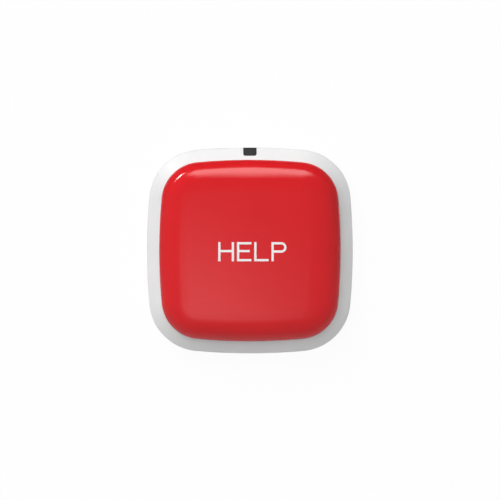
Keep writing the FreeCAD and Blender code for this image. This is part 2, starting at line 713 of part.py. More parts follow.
def button_cap():
    """Dome-topped cap with a brim, a skirt in the trough, a plunger and four snap hooks."""
    body = new_body("button_cap")
    outline = new_sketch(body, "outline", offset=CAP_FOOT)
    rounded_square(outline, "outline", BRIM_INSET)
    block = pad(body, outline, "block", f"{CAP_TOP} - {CAP_FOOT} + 1")

    dome = new_sketch(body, "dome", role="XZ_Plane")
    radius = value("dims.dome_radius")
    top = value(CAP_TOP)
    reach = value("dims.body_width * 0.625")
    above = top + value("dims.cap_edge_radius")
    low = top - radius + math.sqrt(radius ** 2 - reach ** 2)
    ball = Part.Circle(Vector(0, top - radius, 0), Vector(0, 0, 1), radius)
    axis_side = dome.addGeometry(Part.LineSegment(Vector(0, top, 0), Vector(0, above, 0)))
    lid = dome.addGeometry(Part.LineSegment(Vector(0, above, 0), Vector(reach, above, 0)))
    drop = dome.addGeometry(Part.LineSegment(Vector(reach, above, 0), Vector(reach, low, 0)))
    start = math.atan2(low - top + radius, reach)
    curve = dome.addGeometry(Part.ArcOfCircle(ball, start, math.pi / 2))
    joints = [
        ("Coincident", axis_side, 2, lid, 1),
        ("Coincident", lid, 2, drop, 1),
        ("Coincident", drop, 2, curve, 1),
        ("Coincident", curve, 2, axis_side, 1),
        ("Vertical", drop),
        ("PointOnObject", curve, 3, -2),
    ]
    for joint in joints:
        dome.addConstraint(Sketcher.Constraint(*joint))
    bind(dome, Sketcher.Constraint("Radius", curve, radius), "dome_radius", "dims.dome_radius")
    place_point(dome, axis_side, 1, "crown", NOWHERE, CAP_TOP)
    place_point(dome, axis_side, 2, "above", NOWHERE, f"{CAP_TOP} + dims.cap_edge_radius")
    place_point(dome, lid, 2, "beyond", "dims.body_width * 0.625", f"{CAP_TOP} + dims.cap_edge_radius")
    domed = turned(body, dome, "dome_cut", cut=True)

    cylinder_top = value(CAP_FOOT) + TINY
    around_dome = [
        f"Edge{index}" for index, edge in enumerate(domed.Shape.Edges, start=1)
        if min(vertex.Z for vertex in edge.Vertexes) > cylinder_top
    ]
    fillet(body, domed, "soft_edge", around_dome, "dims.cap_edge_radius")

    skirt = new_sketch(body, "skirt", offset=CAP_FOOT)
    rounded_square(skirt, "around")
    rounded_square(skirt, "skirt", SKIRT_INSET)
    pocket(body, skirt, "skirt_cut", f"{BRIM_FOOT} - {CAP_FOOT}", upward=True)
    hollow = new_sketch(body, "hollow", offset=CAP_FOOT)
    rounded_square(hollow, "hollow", f"{SKIRT_INSET} + dims.cap_wall")
    hollowed = pocket(body, hollow, "hollow_cut", f"{CAP_SHOULDER} - {CAP_FOOT}", upward=True)
    shoulder = edges_where(hollowed, at_height(CAP_SHOULDER))
    fillet(body, hollowed, "hollow_edge", shoulder, "dims.cap_hollow_radius")
    crown = new_sketch(body, "crown", offset=CAP_SHOULDER)
    rounded_square(crown, "crown", f"{SKIRT_INSET} + dims.cap_wall + dims.cap_hollow_radius")
    pocket(body, crown, "crown_cut", f"{CAP_CEILING} - {CAP_SHOULDER}", upward=True)

    plunger = new_sketch(body, "plunger", offset=NUB_TOP)
    circle(plunger, "plunger", "dims.plunger_radius")
    pad(body, plunger, "plunger_pad", f"{CAP_CEILING} - {NUB_TOP} + dims.cap_wall / 4")

    for side, word in (("dims.hook_spread", "upper"), ("-dims.hook_spread", "lower")):
        hook = new_sketch(body, f"{word}_hook", role="XZ_Plane", offset=f"-({side})")
        inner = HOOK_INNER
        outer = f"{HOOK_INNER} + dims.hook_thickness"
        root = f"{CAP_FOOT} + dims.cap_wall / 2"
        points = [
            (inner, HOOK_FOOT),
            (outer, HOOK_FOOT),
            (f"{outer} + dims.barb_width", f"{BARB_TOP} - dims.barb_width / 2"),
            (f"{outer} + dims.barb_width", BARB_TOP),
            (outer, BARB_TOP),
            (outer, root),
            (inner, root),
        ]
        polygon(hook, "hook", points)
        hook_pad = pad(body, hook, f"{word}_hook_pad", "dims.hook_width", both_ways=True)
        around(body, [hook_pad], f"{word}_hooks", "2")
    return body


# Indicator window with its light pipe

def indicator_window():
    """Window flush with the rim and the side wall, and the tongue that brings the light in."""
    body = new_body("indicator_window")
    outer_form(body)
    keep = new_sketch(body, "keep", offset=RIM_TOP)
    window_outline(keep, NOWHERE)
    far = "dims.body_width"
    rectangle(keep, "around", (f"-{far}", far), (f"-{far}", far))
    pocket(body, keep, "keep_cut", f"{RIM_TOP} - {SPLIT}")
    below = new_sketch(body, "below", offset=BOARD_TOP)
    rectangle(below, "below", (f"-{far}", far), (f"-{far}", far))
    pocket(body, below, "below_cut", f"{BOARD_TOP} - {SPLIT}")
    tongue = new_sketch(body, "tongue", offset=BOARD_TOP)
    half = PIPE_HALF
    pipe_end = f"{WINDOW_INNER} + dims.window_corner_radius"
    rectangle(tongue, "tongue", (f"-{half}", half), (PIPE_START, pipe_end))
    pad(body, tongue, "tongue_pad", "dims.led_height")
    return body


# Silicone parts

def button_seal():
    """Boot over the switch: bead in the case's groove, thin web, nub under the plunger."""
    body = new_body("button_seal")
    profile = new_sketch(body, "profile", role="XZ_Plane")
    island = ISLAND_TOP
    bead_inner = f"{BEAD_START} + dims.bead_gap"
    bead_outer = f"{BEAD_START} + dims.bead_width - dims.bead_gap"
    bead_foot = f"{island} - dims.bead_depth + dims.bead_gap"
    web_top = f"{island} + dims.web_thickness"
    pocket_radius = "(dims.stem_radius + dims.bead_gap * 3)"
    thick = "dims.seal_thickness"
    points = [
        (NOWHERE, STEM_TOP),
        (pocket_radius, STEM_TOP),
        (pocket_radius, island),
        (bead_inner, island),
        (bead_inner, bead_foot),
        (bead_outer, bead_foot),
        (bead_outer, island),
        (SEAL_RADIUS, island),
        (SEAL_RADIUS, f"{island} + {thick}"),
        (f"{SEAL_OPENING} + {thick}", f"{island} + {thick}"),
        (SEAL_OPENING, web_top),
        (f"dims.nub_radius + {thick}", web_top),
        ("dims.nub_radius", f"{web_top} + {thick}"),
        ("dims.nub_radius", NUB_TOP),
        (NOWHERE, NUB_TOP),
    ]
    polygon(profile, "boot", points)
    turned(body, profile, "boot")
    return body


def case_gasket():
    """Flat gasket in the rear cover's groove, squeezed by the front case."""
    body = new_body("case_gasket")
    ring = new_sketch(body, "ring", offset=f"{SPLIT} - dims.gasket_depth")
    rounded_square(ring, "outer", "dims.gasket_inset + dims.gasket_gap")
    rounded_square(ring, "inner", "dims.gasket_inset + dims.gasket_width - dims.gasket_gap")
    pad(body, ring, "ring_pad", "dims.gasket_depth")
    return body


def door_seal():
    """Ring that closes the battery door against the cover's ledge."""
    body = new_body("door_seal")
    profile = new_sketch(body, "profile", role="XZ_Plane")
    rectangle(profile, "section", (RING_INNER, RING_OUTER), (RING_FOOT, DOOR_RECESS))
    ring = turned(body, profile, "ring")
    level = value(DOOR_RECESS)
    top = edges_where(ring, lambda point: abs(point.z - level) < TINY)
    fillet(body, ring, "ring_edges", top, "dims.ring_edge_radius")
    return body


# Rear cover and battery door

def rear_cover():
    """Back shell: battery well with its bayonet ledge, gasket groove, lip and screw pillars."""
    body = new_body("rear_cover")
    outline = new_sketch(body, "outline")
    rounded_square(outline, "outline")
    block = pad(body, outline, "block", SPLIT)
    back = edges_where(block, at_height(NOWHERE))
    rounded = fillet(body, block, "back_edge", back, "dims.back_edge_radius")
    seam = edges_where(rounded, at_height(SPLIT))
    fillet(body, rounded, "seam_edge", seam, "dims.seam_edge_radius")
    inside = new_sketch(body, "inside", offset=SPLIT)
    rounded_square(inside, "inside", COVER_WALL)
    pocket(body, inside, "inside_cut", f"{SPLIT} - {COVER_FLOOR}")

    lip = new_sketch(body, "lip", offset=COVER_FLOOR)
    side_strip(lip, COVER_WALL, f"{COVER_WALL} + dims.lip_width", "dims.lip_length / 2")
    lip_pad = pad(body, lip, "lip_pad", f"{LIP_TOP} - {COVER_FLOOR}")
    around(body, [lip_pad], "lips", "4")

    groove = new_sketch(body, "gasket_groove", offset=SPLIT)
    rounded_square(groove, "outer", "dims.gasket_inset")
    rounded_square(groove, "inner", "dims.gasket_inset + dims.gasket_width")
    pocket(body, groove, "gasket_groove_cut", "dims.gasket_depth")

    well = new_sketch(body, "battery_well", offset=COVER_FLOOR)
    circle(well, "well_inner", WELL_RADIUS)
    circle(well, "well_outer", f"{WELL_RADIUS} + dims.well_wall")
    pad(body, well, "battery_well_pad", f"{BOARD_UNDERSIDE} - {COVER_FLOOR}")
    rib = new_sketch(body, "rib", role="XZ_Plane")
    rib_end = f"{WELL_RADIUS} + dims.well_wall / 2"
    rectangle(rib, "rib", (RIB_INNER, rib_end), (RIB_FOOT, RIB_TOP))
    rib.AttachmentOffset = Placement(Vector(), Rotation(Vector(0, 1, 0), 30))
    rib_pad = pad(body, rib, "rib_pad", "dims.rib_width", both_ways=True)
    around(body, [rib_pad], "ribs", "dims.rib_count")

    pillar = new_sketch(body, "pillar", offset=COVER_FLOOR)
    circle(pillar, "pillar", PILLAR_RADIUS, BOSS_PLACE, BOSS_PLACE)
    pillar_pad = pad(body, pillar, "pillar_pad", f"{SPLIT} - {COVER_FLOOR}")
    around(body, [pillar_pad], "pillars", "4")
    hole = new_sketch(body, "screw_hole")
    circle(hole, "hole", SCREW_HOLE_RADIUS, BOSS_PLACE, BOSS_PLACE)
    hole_cut = pocket(body, hole, "screw_hole_cut", SPLIT, upward=True)
    around(body, [hole_cut], "screw_holes", "4")
    bore = new_sketch(body, "counterbore")
    circle(bore, "bore", COUNTERBORE_RADIUS, BOSS_PLACE, BOSS_PLACE)
    bore_cut = pocket(body, bore, "counterbore_cut", SCREW_SEAT, upward=True)
    around(body, [bore_cut], "counterbores", "4")

    recess = new_sketch(body, "door_recess")
    circle(recess, "recess", f"{DOOR_RADIUS} + dims.door_gap")
    pocket(body, recess, "door_recess_cut", DOOR_RECESS, upward=True)
    mouth = new_sketch(body, "mouth", offset=DOOR_RECESS)
    circle(mouth, "mouth", f"{NECK_RADIUS} + dims.neck_gap")
    pocket(body, mouth, "mouth_cut", f"{COVER_FLOOR} - {DOOR_RECESS}", upward=True)
    notch = new_sketch(body, "notch", role="XZ_Plane")
    notch.AttachmentOffset = Placement(Vector(), Rotation(Vector(0, 1, 0), -value("dims.twist_angle")))
    notch_start = f"{NECK_RADIUS} - dims.neck_wall"
    rectangle(notch, "notch", (notch_start, NOTCH_OUTER), (DOOR_RECESS, COVER_FLOOR))
    notch_cut = turned(body, notch, "notch_cut", angle="dims.notch_angle", cut=True)
    around(body, [notch_cut], "notches", "dims.lug_count")
    return body


def battery_door():
    """Bayonet door: flange with a seal groove, neck with three lugs, coin slot outside."""
    body = new_body("battery_door")
    profile = new_sketch(body, "profile", role="XZ_Plane")
    neck_bore = f"{NECK_RADIUS} - dims.neck_wall"
    points = [
        (NOWHERE, "dims.door_face"),
        (DOOR_RADIUS, "dims.door_face"),
        (DOOR_RADIUS, FLANGE_TOP),
        (RING_OUTER, FLANGE_TOP),
        (RING_OUTER, RING_FOOT),
        (RING_INNER, RING_FOOT),
        (RING_INNER, FLANGE_TOP),
        (NECK_RADIUS, FLANGE_TOP),
        (NECK_RADIUS, NECK_TOP),
        (neck_bore, NECK_TOP),
        (neck_bore, PLATE_TOP),
        (NOWHERE, PLATE_TOP),
    ]
    polygon(profile, "disc", points)
    disc = turned(body, profile, "disc")
    rim = value(DOOR_RADIUS)
    level = value("dims.door_face")
    outside = lambda point: abs(point.z - level) < TINY and math.hypot(point.x, point.y) > rim - TINY
    fillet(body, disc, "face_edge", edges_where(disc, outside), "dims.ring_edge_radius")

    lug = new_sketch(body, "lug", role="XZ_Plane")
    lug_root = f"{NECK_RADIUS} - dims.neck_wall / 2"
    rectangle(lug, "lug", (lug_root, LUG_OUTER), (LUG_FOOT, NECK_TOP))
    lug_turned = turned(body, lug, "lug_turned", angle="dims.lug_angle")
    around(body, [lug_turned], "lugs", "dims.lug_count")

    slot = new_sketch(body, "coin_slot", role="YZ_Plane")
    reach = value("dims.coin_slot_length / 2")
    depth = value("dims.coin_slot_depth")
    face = value("dims.door_face")
    swing = (reach ** 2 + depth ** 2) / (2 * depth)
    bottom = Part.Circle(Vector(0, face + depth - swing, 0), Vector(0, 0, 1), swing)
    lean = math.asin(reach / swing)
    arc = slot.addGeometry(Part.ArcOfCircle(bottom, math.pi / 2 - lean, math.pi / 2 + lean))
    chord = slot.addGeometry(Part.LineSegment(Vector(-reach, face, 0), Vector(reach, face, 0)))
    slot.addConstraint(Sketcher.Constraint("Coincident", arc, 2, chord, 1))
    slot.addConstraint(Sketcher.Constraint("Coincident", chord, 2, arc, 1))
    place_point(slot, chord, 1, "slot_start", "-dims.coin_slot_length / 2", "dims.door_face")
    place_point(slot, chord, 2, "slot_end", "dims.coin_slot_length / 2", "dims.door_face")
    swing_size = "((dims.coin_slot_length / 2) ^ 2 + dims.coin_slot_depth ^ 2) / (2 * dims.coin_slot_depth)"
    bind(slot, Sketcher.Constraint("Radius", arc, swing), "slot_swing", swing_size)
    before = body.Shape.Volume
    slot_cut = body.newObject("PartDesign::Pocket", "coin_slot_cut")
    slot_cut.Profile = slot
    slot_cut.Midplane = True
    bind_sizes(slot_cut, {"Length": "dims.coin_slot_width"})
    doc.recompute()
    check_cut(body, before, "coin_slot_cut")
    return body


def case_screws():
    """Four self-tapping screws with cross recesses, driven in from the back."""
    body = new_body("case_screws")
    place = BOSS_PLACE
    profile = new_sketch(body, "profile", role="XZ_Plane", offset=place)
    point_start = f"{SCREW_TIP} - dims.screw_point"
    points = [
        (place, "dims.screw_sink"),
        (f"{place} + dims.screw_head_radius - dims.screw_edge", "dims.screw_sink"),
        (f"{place} + dims.screw_head_radius", f"dims.screw_sink + dims.screw_edge"),
        (f"{place} + dims.screw_head_radius", SCREW_SEAT),
        (f"{place} + dims.screw_radius", SCREW_SEAT),
        (f"{place} + dims.screw_radius", point_start),
        (f"{place} + dims.screw_radius / 3", SCREW_TIP),
        (place, SCREW_TIP),
    ]
    polygon(profile, "screw", points)
    low = Vector(value(place), value("dims.screw_sink"), 0)
    high = Vector(value(place), value(SCREW_TIP), 0)
    middle = profile.addGeometry(Part.LineSegment(low, high), True)
    place_point(profile, middle, 1, "middle_foot", place, "dims.screw_sink")
    place_point(profile, middle, 2, "middle_tip", place, SCREW_TIP)
    shank = turned(body, profile, "shank", axis="Axis0")
    cross = new_sketch(body, "cross", offset="dims.screw_sink")
    wide = "dims.recess_width / 2"
    long = "dims.recess_length / 2"
    arms = [(long, wide), (wide, wide), (wide, long)]
    corners = arms + [(f"-{x}", y) for x, y in reversed(arms)]
    corners += [(f"-{x}", f"-{y}") for x, y in arms] + [(x, f"-{y}") for x, y in reversed(arms)]
    polygon(cross, "cross", [(f"{place} + ({x})", f"({y}) - {place}") for x, y in corners])
    cross_cut = pocket(body, cross, "cross_cut", "dims.recess_depth", upward=True)
    around(body, [shank, cross_cut], "screws", "4")
    return body


# Battery and contacts

def battery_cell():
    """Coin cell, can downwards, with the smaller cap of the other pole on top."""
    body = new_body("battery_cell")
    profile = new_sketch(body, "profile", role="XZ_Plane")
    crimp = CRIMP_RADIUS
    points = [
        (NOWHERE, PLATE_TOP),
        ("dims.cell_radius", PLATE_TOP),
        ("dims.cell_radius", f"{CAN_TOP} - dims.cell_edge_radius / 2"),
        (crimp, CAN_TOP),
        (CELL_CAP_RADIUS, f"{CAN_TOP} - dims.leaf_thickness"),
        (CELL_CAP_RADIUS, CELL_TOP),
        (NOWHERE, CELL_TOP),
    ]
    polygon(profile, "cell", points)
    cell = turned(body, profile, "cell")
    can_foot = value(PLATE_TOP)
    foot = edges_where(cell, lambda point: abs(point.z - can_foot) < TINY and point.Length > 1)
    fillet(body, cell, "can_edge", foot, "dims.cell_edge_radius")
    return body


def bent_strip(body, points, width):
    """A leaf of sheet metal bent in the XZ plane and padded both ways along Y."""
    profile = new_sketch(body, "profile", role="XZ_Plane")
    polygon(profile, "leaf", points)
    pad(body, profile, "leaf", width, both_ways=True)


def negative_contact():
    """Two-armed leaf under the board that presses on the cell's cap."""
    body = new_body("negative_contact")
    top = BOARD_UNDERSIDE
    low = CELL_TOP
    sheet_metal = "dims.leaf_thickness"
    right = [
        ("dims.negative_base", f"{top} - {sheet_metal}"),
        ("dims.negative_bend", low),
        ("dims.negative_reach", low),
        ("dims.negative_reach", f"{low} + {sheet_metal}"),
        (f"dims.negative_bend + {sheet_metal} / 2", f"{low} + {sheet_metal}"),
        (f"dims.negative_base + {sheet_metal} / 2", top),
    ]
    left = [(f"-({x})", z) for x, z in reversed(right)]
    bent_strip(body, right + left, "dims.negative_width")
    return body


def positive_contact():
    """Spring leaf beside the cell that touches the can's side."""
    body = new_body("positive_contact")
    top = BOARD_UNDERSIDE
    metal = "dims.leaf_thickness"
    outer = FOOT_OUTER
    touch = TOUCH
    tail = TAIL
    points = [
        (touch, TOUCH_HEIGHT),
        (f"{outer} - {metal}", KNEE),
        (f"{outer} - {metal}", f"{top} - {metal}"),
        (f"{touch} + {metal} * 2", f"{top} - {metal}"),
        (f"{touch} + {metal} * 2", top),
        (outer, top),
        (outer, KNEE),
        (f"{touch} + {metal} * 1.4", TOUCH_HEIGHT),
        (f"{tail} + {metal}", TAIL_FOOT),
        (tail, TAIL_FOOT),
    ]
    bent_strip(body, points, "dims.positive_width")
    return body


# Circuit board and its parts

def circuit_board():
    """Board with the case's outline, notched round the four screw bosses."""
    body = new_body("circuit_board")
    outline = new_sketch(body, "outline", offset=BOARD_UNDERSIDE)
    rounded_square(outline, "outline", "dims.board_inset")
    pad(body, outline, "board", f"{BOARD_TOP} - {BOARD_UNDERSIDE}")
    notch = new_sketch(body, "notch", offset=BOARD_TOP)
    circle(notch, "notch", NOTCH_RADIUS, BOSS_PLACE, BOSS_PLACE)
    notch_cut = pocket(body, notch, "notch_cut", f"{BOARD_TOP} - {BOARD_UNDERSIDE}")
    around(body, [notch_cut], "notches", "4")
    return body


def switch_base():
    """Moulded base of the push switch, with the bore for the snap dome and four rivet posts."""
    body = new_body("switch_base")
    outline = new_sketch(body, "outline", offset=BOARD_TOP)
    half = "dims.switch_width / 2"
    rectangle(outline, "outline", (f"-{half}", half), (f"-{half}", half))
    block = pad(body, outline, "block", f"{SWITCH_TOP} - {BOARD_TOP}")
    width = value(half)
    upright = lambda point: abs(abs(point.x) - width) < TINY and abs(abs(point.y) - width) < TINY
    fillet(body, block, "corners", edges_where(block, upright), "dims.switch_edge_radius")
    bore = new_sketch(body, "bore", offset=SWITCH_TOP)
    circle(bore, "bore", SWITCH_BORE)
    pocket(body, bore, "bore_cut", f"{SWITCH_TOP} - {SWITCH_FLOOR}")
    post = new_sketch(body, "post", offset=SWITCH_TOP)
    circle(post, "post", "dims.switch_post_radius", POST_PLACE, POST_PLACE)
    post_pad = pad(body, post, "post_pad", "dims.post_height")
    around(body, [post_pad], "posts", "4")
    return body


def switch_cover():
    """Steel plate that closes the switch and guides its stem."""
    body = new_body("switch_cover")
    plate = new_sketch(body, "plate", offset=SWITCH_TOP)
    half = "dims.switch_width / 2"
    rectangle(plate, "plate", (f"-{half}", half), (f"-{half}", half))
    circle(plate, "stem_hole", STEM_HOLE)
    block = pad(body, plate, "plate", "dims.switch_cover_thickness")
    width = value(half)
    upright = lambda point: abs(abs(point.x) - width) < TINY and abs(abs(point.y) - width) < TINY
    fillet(body, block, "corners", edges_where(block, upright), "dims.switch_edge_radius")
    hole = new_sketch(body, "post_hole", offset=SWITCH_TOP)
    place = POST_PLACE
    circle(hole, "post_hole", "dims.switch_post_radius + dims.bead_gap", place, place)
    hole_cut = pocket(body, hole, "post_hole_cut", "dims.switch_cover_thickness", upward=True)
    around(body, [hole_cut], "post_holes", "4")
    return body


def switch_stem():
    """Stem of the switch: pip on the snap dome, flange under the plate, rod up to the seal."""
    body = new_body("switch_stem")
    profile = new_sketch(body, "profile", role="XZ_Plane")
    pip = "dims.stem_pip_radius"
    pip_foot = f"{SWITCH_FLOOR} + dims.dome_rise + dims.dome_sheet"
    flange = FLANGE_RADIUS
    points = [
        (NOWHERE, pip_foot),
        (pip, pip_foot),
        (pip, STEM_FLANGE_FOOT),
        (flange, STEM_FLANGE_FOOT),
        (flange, STEM_FLANGE_TOP),
        ("dims.stem_radius", STEM_FLANGE_TOP),
        ("dims.stem_radius", f"{STEM_TOP} - dims.stem_edge_radius"),
        ("dims.stem_radius - dims.stem_edge_radius", STEM_TOP),
        (NOWHERE, STEM_TOP),
    ]
    polygon(profile, "stem", points)
    turned(body, profile, "stem")
    return body


def switch_dome():
    """Snap dome: a shallow spherical cap of spring steel."""
    body = new_body("switch_dome")
    profile = new_sketch(body, "profile", role="XZ_Plane")
    foot = value(DOME_FOOT_RADIUS)
    rise = value("dims.dome_rise")
    thick = value("dims.dome_sheet")
    floor = value(SWITCH_FLOOR)
    bend = (foot ** 2 + rise ** 2) / (2 * rise)
    centre = Vector(0, floor + rise - bend, 0)
    up = Vector(0, 0, 1)
    lean = math.asin(foot / bend)
    outer_lean = math.acos((bend - rise) / (bend + thick))
    outer_foot = (bend + thick) * math.sin(outer_lean)
    inner = Part.ArcOfCircle(Part.Circle(centre, up, bend), math.pi / 2 - lean, math.pi / 2)
    outer = Part.ArcOfCircle(Part.Circle(centre, up, bend + thick), math.pi / 2 - outer_lean, math.pi / 2)
    inner_arc = profile.addGeometry(inner)
    outer_arc = profile.addGeometry(outer)
    top = Vector(0, floor + rise, 0)
    crown = profile.addGeometry(Part.LineSegment(top, top + Vector(0, thick, 0)))
    edge = profile.addGeometry(Part.LineSegment(Vector(foot, floor, 0), Vector(outer_foot, floor, 0)))
    joints = [
        ("Coincident", inner_arc, 2, crown, 1),
        ("Coincident", outer_arc, 2, crown, 2),
        ("Coincident", inner_arc, 1, edge, 1),
        ("Coincident", outer_arc, 1, edge, 2),
        ("Coincident", inner_arc, 3, outer_arc, 3),
        ("PointOnObject", inner_arc, 3, -2),
        ("Horizontal", edge),
    ]
    for joint in joints:
        profile.addConstraint(Sketcher.Constraint(*joint))
    place_point(profile, crown, 1, "under_crown", NOWHERE, f"{SWITCH_FLOOR} + dims.dome_rise")
    place_point(profile, crown, 2, "crown", NOWHERE, f"{SWITCH_FLOOR} + dims.dome_rise + dims.dome_sheet")
    place_point(profile, edge, 1, "foot", DOME_FOOT_RADIUS, SWITCH_FLOOR)
    turned(body, profile, "dome")
    return body


def switch_terminals():
    """Four bent leads that hold the switch to the board."""
    body = new_body("switch_terminals")
    spread = TERMINAL_SPREAD
    half = "dims.switch_width / 2"
    metal = "dims.terminal_sheet"
    floor = BOARD_TOP
    leads = []
    for side, word in ((f"-({spread})", "upper"), (spread, "lower")):
        lead = new_sketch(body, f"{word}_lead", role="XZ_Plane", offset=side)
        points = [
            (half, TERMINAL_EXIT),
            (TERMINAL_KNEE, TERMINAL_EXIT),
            (TERMINAL_KNEE, f"{floor} + {metal}"),
            (TERMINAL_OUTER, f"{floor} + {metal}"),
            (TERMINAL_OUTER, floor),
            (f"{TERMINAL_KNEE} - {metal}", floor),
            (f"{TERMINAL_KNEE} - {metal}", f"{TERMINAL_EXIT} - {metal}"),
            (half, f"{TERMINAL_EXIT} - {metal}"),
        ]
        polygon(lead, "lead", points)
        leads.append(pad(body, lead, f"{word}_lead_pad", "dims.terminal_width", both_ways=True))
    around(body, leads, "leads", "2")
    return body


def indicator_led():
    """Side-looking light source at the board's edge, facing the light pipe."""
    body = new_body("indicator_led")
    outline = new_sketch(body, "outline", offset=BOARD_TOP)
    half = "dims.led_length / 2"
    back = LED_BACK
    front = f"{LED_BACK} + dims.led_depth"
    shoulder = f"{front} - dims.led_depth / 4"
    points = [
        (f"-{half}", back),
        (half, back),
        (half, shoulder),
        (f"{half} * 0.6", front),
        (f"-{half} * 0.6", front),
        (f"-{half}", shoulder),
    ]
    polygon(outline, "outline", points)
    pad(body, outline, "block", "dims.led_height")
    return body


def radio_shield():
    """Drawn metal can, open downwards, over the radio."""
    body = new_body("radio_shield")
    outline = new_sketch(body, "outline", offset=BOARD_TOP)
    across = (f"-{SHIELD_LEFT}", f"-{SHIELD_RIGHT}")
    along_y = ("-dims.shield_half_length", "dims.shield_half_length")
    rectangle(outline, "outline", across, along_y)
    block = pad(body, outline, "block", "dims.shield_height")
    foot = value(BOARD_TOP)
    edges = [
        f"Edge{index}" for index, edge in enumerate(block.Shape.Edges, start=1)
        if max(vertex.Z for vertex in edge.Vertexes) > foot + TINY
    ]
    rounded = fillet(body, block, "drawn_edges", edges, "dims.shield_edge_radius")
    bottom = [
        f"Face{index}" for index, face in enumerate(rounded.Shape.Faces, start=1)
        if abs(face.CenterOfMass.z - foot) < TINY
    ]
    shell = body.newObject("PartDesign::Thickness", "sheet")
    shell.Base = (rounded, bottom)
    shell.Reversed = True
    bind_sizes(shell, {"Value": "dims.shield_sheet"})
    doc.recompute()
    return body


def radio_chip():
    """Flat square radio chip under the shield."""
    return board_block("radio_chip", CHIP_CENTRE, "dims.chip_rise", "dims.chip_width",
                       "dims.chip_width", "dims.chip_height")


def radio_crystal():
    """Oblong quartz crystal beside the radio chip."""
    return board_block("radio_crystal", CHIP_CENTRE, "-dims.crystal_drop", "dims.crystal_width",
                       "dims.crystal_length", "dims.crystal_height")


def board_block(name, left, place_y, width, length, height):
    """A plain block on the board's top, left of the middle."""
    body = new_body(name)
    outline = new_sketch(body, "outline", offset=BOARD_TOP)
    across = (f"-({left}) - {width} / 2", f"-({left}) + {width} / 2")
    along_y = (f"{place_y} - {length} / 2", f"{place_y} + {length} / 2")
    rectangle(outline, "outline", across, along_y)
    pad(body, outline, "block", height)
    return body


def antenna():
    """Wire staple that stands on the board as the aerial."""
    body = new_body("antenna")
    reach = value(ANTENNA_REACH)
    foot = value(BOARD_TOP)
    top = foot + value("dims.antenna_height - dims.antenna_radius")
    bend = value("dims.antenna_bend")
    path = new_sketch(body, "path", role="XZ_Plane", offset=ANTENNA_PLACE)
    up = Vector(0, 0, 1)
    left_bend = Part.Circle(Vector(bend - reach, top - bend, 0), up, bend)
    right_bend = Part.Circle(Vector(reach - bend, top - bend, 0), up, bend)
    pieces = [
        Part.LineSegment(Vector(-reach, foot, 0), Vector(-reach, top - bend, 0)),
        Part.ArcOfCircle(left_bend, math.pi / 2, math.pi),
        Part.LineSegment(Vector(bend - reach, top, 0), Vector(reach - bend, top, 0)),
        Part.ArcOfCircle(right_bend, 0, math.pi / 2),
        Part.LineSegment(Vector(reach, top - bend, 0), Vector(reach, foot, 0)),
    ]
    left, left_arc, bar, right_arc, right = [path.addGeometry(piece) for piece in pieces]
    joints = [
        ("Tangent", left, 2, left_arc, 2),
        ("Tangent", left_arc, 1, bar, 1),
        ("Tangent", bar, 2, right_arc, 2),
        ("Tangent", right_arc, 1, right, 1),
        ("Vertical", left),
        ("Horizontal", bar),
        ("Equal", left_arc, right_arc),
    ]
    for joint in joints:
        path.addConstraint(Sketcher.Constraint(*joint))
    place_point(path, left, 1, "left_foot", f"-{ANTENNA_REACH}", BOARD_TOP)
    place_point(path, right, 2, "right_foot", ANTENNA_REACH, BOARD_TOP)
    bind(path, Sketcher.Constraint("Radius", left_arc, bend), "bend", "dims.antenna_bend")
    bar_height = f"{BOARD_TOP} + dims.antenna_height - dims.antenna_radius"
    bind(path, Sketcher.Constraint("DistanceY", -1, 1, bar, 1, top), "bar_height", bar_height)
    section = new_sketch(body, "section", offset=BOARD_TOP)
    circle(section, "wire", "dims.antenna_radius", f"-{ANTENNA_REACH}", f"-{ANTENNA_PLACE}")
    wire = body.newObject("PartDesign::AdditivePipe", "wire")
    wire.Profile = section
    wire.Spine = (path, ["Edge1", "Edge2", "Edge3", "Edge4", "Edge5"])
    doc.recompute()
    return body


def board_row(name, kind, direction):
    """A row of like parts on the board, right of the switch."""
    body = new_body(name)
    outline = new_sketch(body, "outline", offset=BOARD_TOP)
    start = "dims.body_width / 2 - dims.row_inset"
    place = f"{direction}(dims.{kind}_row)"
    along_x = (start, f"{start} + dims.{kind}_length")
    along_y = (f"{place} - dims.{kind}_width / 2", f"{place} + dims.{kind}_width / 2")
    rectangle(outline, "outline", along_x, along_y)
    first = pad(body, outline, "first", f"dims.{kind}_height")
    along(body, [first], "row", "X_Axis", f"dims.{kind}_pitch", f"dims.{kind}_count")
    return body


pieces = [
    front_case(),
    rear_cover(),
    battery_door(),
    button_cap(),
    indicator_window(),
    button_seal(),
    case_gasket(),
    door_seal(),
    case_screws(),
    battery_cell(),
    negative_contact(),
    positive_contact(),
    circuit_board(),
    switch_base(),
    switch_cover(),
    switch_stem(),
    switch_dome(),
    switch_terminals(),
    indicator_led(),
    radio_shield(),
    radio_chip(),
    radio_crystal(),
    antenna(),
    board_row("chip_capacitors", "capacitor", ""),
    board_row("chip_resistors", "resistor", "-"),
]

# Nothing is written unless every feature and every piece came out whole

doc.recompute()
for item in doc.Objects:
    if "Invalid" in item.State or "Error" in item.State:
        raise RuntimeError(f"{item.Name} ({item.Label}) failed: {item.State}")
os.makedirs("parts", exist_ok=True)
for piece in pieces:
    if piece.Shape.isNull() or not piece.Shape.isValid():
        raise RuntimeError(f"{piece.Label} has no valid shape")
for piece in pieces:
    piece.Shape.exportStep(f"parts/{piece.Label}.step")
    print(piece.Label, len(piece.Shape.Solids), round(piece.Shape.Volume, 2))
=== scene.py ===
import json
import math

